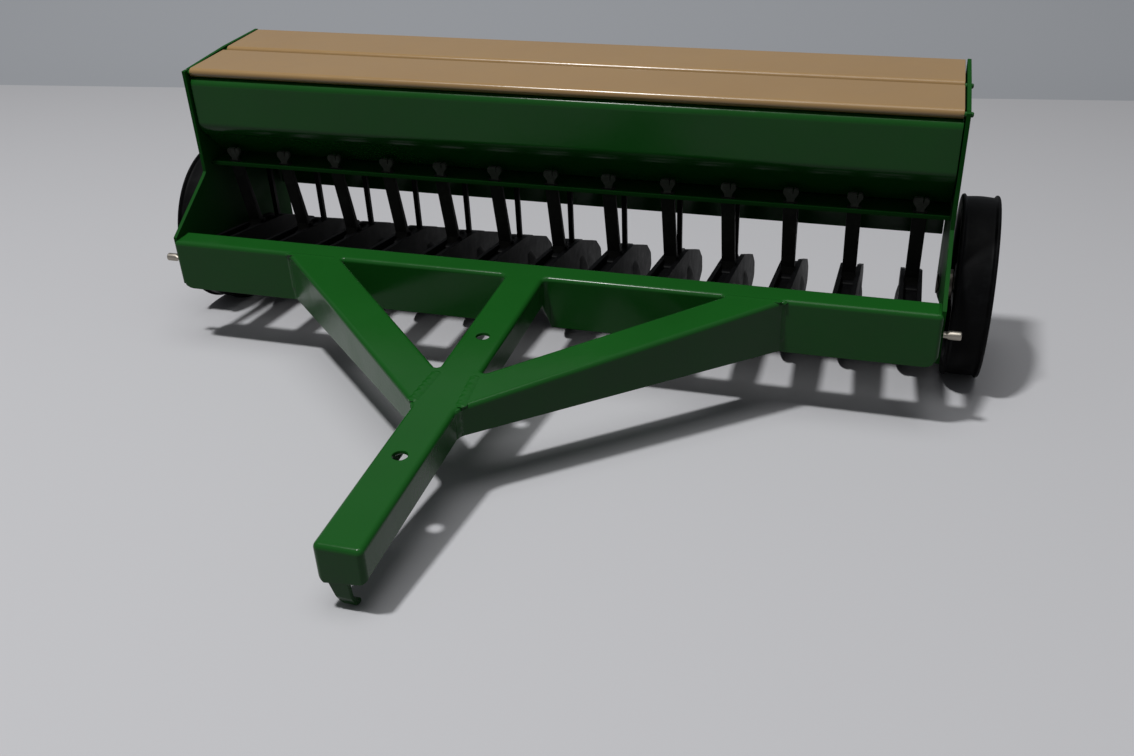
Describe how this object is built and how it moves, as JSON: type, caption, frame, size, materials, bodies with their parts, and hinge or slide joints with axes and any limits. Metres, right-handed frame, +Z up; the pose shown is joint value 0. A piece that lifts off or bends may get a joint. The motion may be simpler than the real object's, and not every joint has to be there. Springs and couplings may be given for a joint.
{
  "type": "toy seed drill",
  "caption": "Toy pull-type grain drill of pressed steel with a two-lid seed box, moulded openers in a row, a braced tongue with a hook, and two plastic wheels.",
  "frame": {"origin": "centre of the footprint box, on the floor the toy stands on", "axes": "+X across the machine to the right of someone who looks from tongue to box, +Y to the back, +Z up"},
  "size_m": [0.286, 0.2204, 0.1007],
  "materials": {
    "green_enamel": "glossy green enamel on pressed steel",
    "tan_enamel": "semi-gloss tan enamel on tin",
    "black_plastic": "moulded black plastic, satin",
    "bright_steel": "bright zinc-plated steel wire"
  },
  "bodies": {
    "frame": {"front_beam": "green_enamel", "pivot_rod": "bright_steel", "tongue": "green_enamel", "hitch_hook": "green_enamel", "end_plate_left": "green_enamel", "brace_left": "green_enamel", "axle_left": "bright_steel", "end_plate_right": "green_enamel", "brace_right": "green_enamel", "axle_right": "bright_steel", "box_front_panel": "green_enamel", "box_back_panel": "green_enamel", "box_floor": "green_enamel", "box_divider": "green_enamel", "opener_01": "black_plastic", "opener_02": "black_plastic", "opener_03": "black_plastic", "opener_04": "black_plastic", "opener_05": "black_plastic", "opener_06": "black_plastic", "opener_07": "black_plastic", "opener_08": "black_plastic", "opener_09": "black_plastic", "opener_10": "black_plastic", "opener_11": "black_plastic", "opener_12": "black_plastic", "opener_13": "black_plastic"},
    "wheel_left": {"wheel_left": "black_plastic"},
    "wheel_right": {"wheel_right": "black_plastic"},
    "front_lid": {"front_lid": "tan_enamel"},
    "rear_lid": {"rear_lid": "tan_enamel"}
  },
  "joints": [
    {"name": "wheel_left_spin", "type": "hinge", "parent": "frame", "child": "wheel_left", "pos_m": [-0.1371, 0.07903, 0.03], "axis": [1, 0, 0], "continuous": true},
    {"name": "wheel_right_spin", "type": "hinge", "parent": "frame", "child": "wheel_right", "pos_m": [0.1371, 0.07903, 0.03], "axis": [1, 0, 0], "continuous": true},
    {"name": "front_lid_hinge", "type": "hinge", "parent": "frame", "child": "front_lid", "pos_m": [0, 0.04653, 0.09213], "axis": [1, 0, 0], "range_deg": [0, 95]},
    {"name": "rear_lid_hinge", "type": "hinge", "parent": "frame", "child": "rear_lid", "pos_m": [0, 0.07153, 0.096], "axis": [1, 0, 0], "range_deg": [0, 95]}
  ]
}
